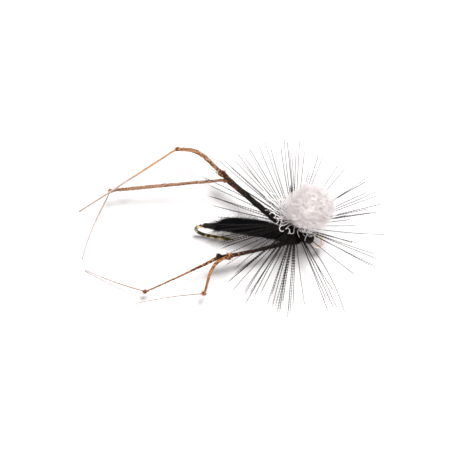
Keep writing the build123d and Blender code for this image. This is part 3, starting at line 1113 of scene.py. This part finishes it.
def leg_points(name):
    """Root, knee, ankle and tip; the tip is the corner of the tarsus farthest from the ankle."""
    root, knee, ankle = (joint_point(f"{name}_{joint}") for joint in LEG_JOINTS)
    low, high = box(f"{name}_tarsus")
    tip = np.where(np.abs(high - ankle) > np.abs(low - ankle), high, low)
    return root, knee, ankle, tip


def bowed(start, end, bow, count):
    """A line bowed sideways and up; skew below 1 puts the crest nearer its start."""
    sideways, up, skew = bow
    t = np.linspace(0, 1, count)[:, None]
    side = unit(np.cross(UP, end - start))
    return start + (end - start) * t + np.sin(np.pi * t**skew) * (side * sideways + UP * up)


def knot_line(centre, hinge, towards, size, count, draw):
    """Nearly two tight turns of an overhand knot, tilted a little at random."""
    axis = unit(hinge + draw.normal(0, 0.3, 3))
    first, second = across(axis, towards)
    turns = np.linspace(-0.3, 1.3, count) * TAU
    swing = size * (0.5 + 0.2 * np.sin(turns * 1.3 + draw.uniform(0, 6)))
    height = size * 0.7 * np.linspace(-1, 1, count) * draw.choice([-1.0, 1.0])
    height = height + 0.35 * size * np.sin(turns + draw.uniform(0, 6))
    centre = centre + draw.normal(0, 0.18 * size, 3)
    circle = first * (swing * np.cos(turns))[:, None] + second * (swing * np.sin(turns))[:, None]
    return centre + circle + axis * height[:, None]


def leg_line(name, shape, draw):
    """A strand's line from inside the thorax to the tip, and its place on STATIONS' scale."""
    root, knee, ankle, tip = leg_points(name)
    knee = knee + np.array(shape["knee_shift"])
    femur, tibia, tarsus = unit(knee - root), unit(ankle - knee), unit(tip - ankle)
    bows = shape["bows"]
    inside = root + np.array([1.0, -0.5 * np.sign(root[1]), 0.0])
    knee_hinge, ankle_hinge = unit(np.cross(femur, tibia)), unit(np.cross(tibia, tarsus))
    parts = [
        (bowed(inside, root, (0, 0, 1), 7)[:-1], (-0.1, 0)),
        (bowed(root, knee - femur * KNEE_GAP, bows[0], 90), (0, 0.97)),
        (knot_line(knee, knee_hinge, femur, KNEE_SIZE, 26, draw), (0.98, 1.03)),
        (bowed(knee + tibia * KNEE_GAP, ankle - tibia * ANKLE_GAP, bows[1], 120), TIBIA),
        (knot_line(ankle, ankle_hinge, tibia, ANKLE_SIZE, 24, draw), (1.97, 2.02)),
        (bowed(ankle + tarsus * ANKLE_GAP, tip, bows[2], 60), (2.03, 3.0)),
    ]
    line = np.concatenate([points for points, _ in parts])
    place = np.concatenate([np.linspace(*ends, len(points)) for points, ends in parts])
    return line, place


def smooth(line):
    """The same line with its corners rounded a little, twice over."""
    for _ in range(2):
        line[1:-1] = (line[:-2] + 2 * line[1:-1] + line[2:]) / 4
    return line


def hairs_on(heap, line, shade, draw, count, length, thick):
    """Short hairs standing out all round a line, leaning along it."""
    spot = draw.uniform(0, len(line) - 1, count)
    index = np.arange(len(line))
    root = sampled(spot, index, line)
    way = unit(sampled(spot, index, np.gradient(line, axis=0)))
    out = unit(np.cross(way, draw.normal(0, 1, (count, 3))))
    lean = unit(way * draw.uniform(0.2, 0.9, (count, 1)) + out)
    size = length * draw.uniform(0.5, 1.15, (count, 1))
    bend = unit(np.cross(lean, draw.normal(0, 1, (count, 3)))) * size * 0.15
    paths = np.stack([root, root + lean * size * 0.5 + bend, root + lean * size], axis=1)
    tones = np.interp(spot, index, shade)[:, None] + np.array([[-0.04, 0.0, 0.06]])
    tones = tones + draw.normal(0, 0.28, (count, 1))
    heap.tubes(paths, thick * np.array([1.0, 0.8, 0.3]), 3, 0.5, tones)


def strand_of(name, shape, strand, draw):
    """One strand of a leg: its line and its radius, shade and place along that line."""
    line, place = leg_line(name, shape, draw)
    way = np.gradient(line, axis=0)
    first = unit(np.cross(UP, way))
    second = unit(np.cross(way, first))
    twist = shape["twist"] * np.interp(place, [0, 1, 2, 3], [0, 0.25, 1.25, 1.4])
    turn = (TAU * (strand / STRANDS + twist))[:, None]
    apart = (np.interp(place, STATIONS, shape["apart"]) * draw.uniform(0.8, 1.15))[:, None]
    line = smooth(line + first * (apart * np.cos(turn)) + second * (apart * np.sin(turn)))
    thick = np.interp(place, STATIONS, shape["thick"]) * draw.uniform(0.8, 1.1)
    shade = np.interp(place, STATIONS, shape["shade"])
    tied = np.exp(-((from_knot(place) / 0.035) ** 2))
    shade = shade * (1 - tied) + np.where(place < 1.5, *shape["knots"]) * tied
    run = np.cumsum(np.linalg.norm(np.gradient(line, axis=0), axis=1))
    on_tibia = (place > TIBIA[0]) & (place < TIBIA[1])
    ridge = np.sin(TAU * run / BEAD_PITCH + 0.4 * strand) * on_tibia
    thick = thick * (1 + shape["bead"] * ridge)
    # The beads' crests are painted paler and the grooves between them darker: painted light and
    # shade.
    return line, thick, shade + 0.3 * shape["bead"] * ridge, place


def from_knot(place):
    """Distance to the nearer knot, in places."""
    return np.minimum(np.abs(place - 1), np.abs(place - 2))


def leg(name, shape, seed):
    """Three heaps for one leg, cut in the middle of its femur and of its tibia."""
    draw = seeded(seed)
    cuts = ((-1, 0.5), (0.5, 1.5), (1.5, 4))
    heaps = [Heap() for _ in cuts]
    for strand in range(STRANDS):
        line, thick, shade, place = strand_of(name, shape, strand, draw)
        tone = draw.uniform(0.1, 0.9)
        for heap, (low, high) in zip(heaps, cuts):
            kept = np.flatnonzero((place >= low) & (place < high))
            kept = np.append(kept, min(kept[-1] + 1, len(line) - 1))
            run, dark, where = line[kept], shade[kept], place[kept]
            heap.tubes([run], [thick[kept]], 6, tone, dark)
            tufts = (
                ((where > 1.04) & (where < 1.95), 0.03, *shape["fuzz"]),
                (from_knot(where) < 0.03, 0, 14, 0.5 if low < 1 else 0.42, 0.03),
                (where < 0.97, 0, 90, 0.2, 0.028),
            )
            for chosen, paler, *hairs in tufts:
                if chosen.any():
                    hairs_on(heap, run[chosen], dark[chosen] + paler, draw, *hairs)
    return heaps


def legs():
    looks = ((DARK_HERL, "dark_herl"), (COPPER_HERL, "copper_herl"), (THIN_HERL, "thin_herl"))
    labels = ("upper", "middle", "tip")
    for number, (name, shape) in enumerate(LEGS.items()):
        heaps = leg(name, shape, 60 + number)
        stand_for = [
            [f"{name}_femur"],
            [f"{name}_knee_knot", f"{name}_tibia"],
            [f"{name}_ankle_knot", f"{name}_tarsus"],
        ]
        if name.endswith("front"):
            stand_for[0].append(f"leg_butts_{name.split('_')[0]}")
        for i, heap in enumerate(heaps):
            material, slot = looks[i]
            thing = piece(f"{name}_{labels[i]}_fibres", heap, material, stand_for[i], None)
            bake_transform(thing)


legs()


# Stage, light and camera, in metres

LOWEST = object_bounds()[0][2]
PAPER_Z = LOWEST - 0.0002
PAPER_HALF = 0.6
SKY_COLOUR = (1.0, 0.92, 0.945, 1)
SKY_STRENGTH = 0.34
KEY_PLACE = Vector((0.032, 0.012, 0.39))
KEY_TARGET = Vector((-0.008, 0, 0))
KEY_SIZE = 0.1
KEY_POWER = 1.9
KEY_COLOUR = (1.0, 0.99, 0.98)
# the camera stands over the fly's right side: its turn towards the front, and its rise
CAMERA_TURN = math.radians(7.3)
CAMERA_RISE = math.radians(72)
CAMERA_TARGET = Vector((-0.01164, -0.00017, 0.001))
CAMERA_DISTANCE = 0.25
SENSOR_MM = 36
VIEW_WIDTH = 0.05954


def stage():
    mesh = bpy.data.meshes.new("paper_sheet")
    signs = ((-1, -1), (1, -1), (1, 1), (-1, 1))
    corners = [(PAPER_HALF * x, PAPER_HALF * y, PAPER_Z) for x, y in signs]
    mesh.from_pydata(corners, [], [(0, 1, 2, 3)])
    floor = placed("paper_sheet", mesh)
    floor.data.materials.append(paper())


def lights():
    lamp = bpy.data.lights.new("key", "AREA")
    lamp.shape = "DISK"
    lamp.size = KEY_SIZE
    lamp.energy = KEY_POWER
    lamp.color = KEY_COLOUR
    thing = placed("key", lamp)
    thing.location = KEY_PLACE
    thing.rotation_euler = (KEY_TARGET - KEY_PLACE).to_track_quat("-Z", "Y").to_euler()
    world = bpy.data.worlds.new("studio")
    bpy.context.scene.world = world
    world.use_nodes = True
    background = world.node_tree.nodes["Background"]
    fill(background, {"Color": SKY_COLOUR, "Strength": SKY_STRENGTH})


def camera():
    level = math.cos(CAMERA_RISE)
    sideways, back = math.sin(CAMERA_TURN) * level, -math.cos(CAMERA_TURN) * level
    away = Vector((sideways, back, math.sin(CAMERA_RISE)))
    lens = bpy.data.cameras.new("camera")
    lens.sensor_width = SENSOR_MM
    lens.lens = SENSOR_MM * CAMERA_DISTANCE / VIEW_WIDTH
    lens.clip_start = 0.01
    lens.clip_end = 10
    thing = placed("camera", lens)
    thing.location = CAMERA_TARGET + away * CAMERA_DISTANCE
    thing.rotation_euler = (-away).to_track_quat("-Z", "Y").to_euler()
    bpy.context.scene.camera = thing


stage()
lights()
camera()
bpy.context.scene.view_settings.view_transform = "Standard"
